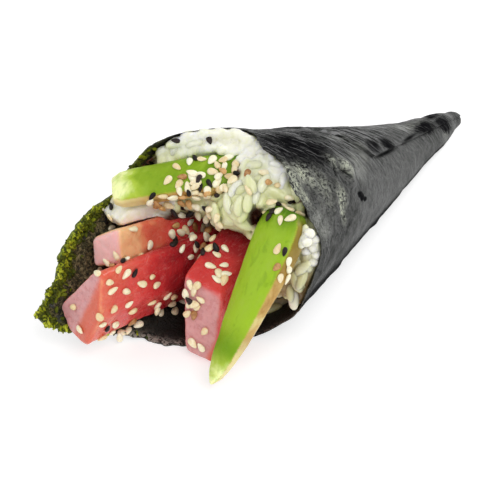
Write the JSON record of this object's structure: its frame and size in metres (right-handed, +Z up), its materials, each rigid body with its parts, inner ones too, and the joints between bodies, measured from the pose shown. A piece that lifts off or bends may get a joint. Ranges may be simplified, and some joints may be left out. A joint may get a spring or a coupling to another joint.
{
  "type": "temaki hand roll",
  "caption": "Cone of dark nori wound round rice, with red tuna sticks and avocado slices fanning out of its open mouth, lying on its side.",
  "frame": {"origin": "on the resting plane, under the middle of the roll's box", "axes": "+Z up, +Y along the roll towards its pointed tip, the open mouth faces -Y, +X to the roll's right seen from the mouth's back"},
  "size_m": [0.0538, 0.1358, 0.0451],
  "materials": {
    "nori": "dark green-black roasted seaweed, satin, finely fibrous and crinkled",
    "rice": "moist sticky white grains, slightly translucent",
    "tuna": "wet raw red fish, translucent, lilac on the cut ends",
    "avocado": "soft moist flesh, dark green at the back to yellow at the stone side"
  },
  "bodies": {
    "root": {"nori_wrap": "nori", "rice": "rice", "tuna_upper": "tuna", "tuna_lower": "tuna", "tuna_right": "tuna", "avocado_left": "avocado", "avocado_right": "avocado"}
  },
  "joints": []
}
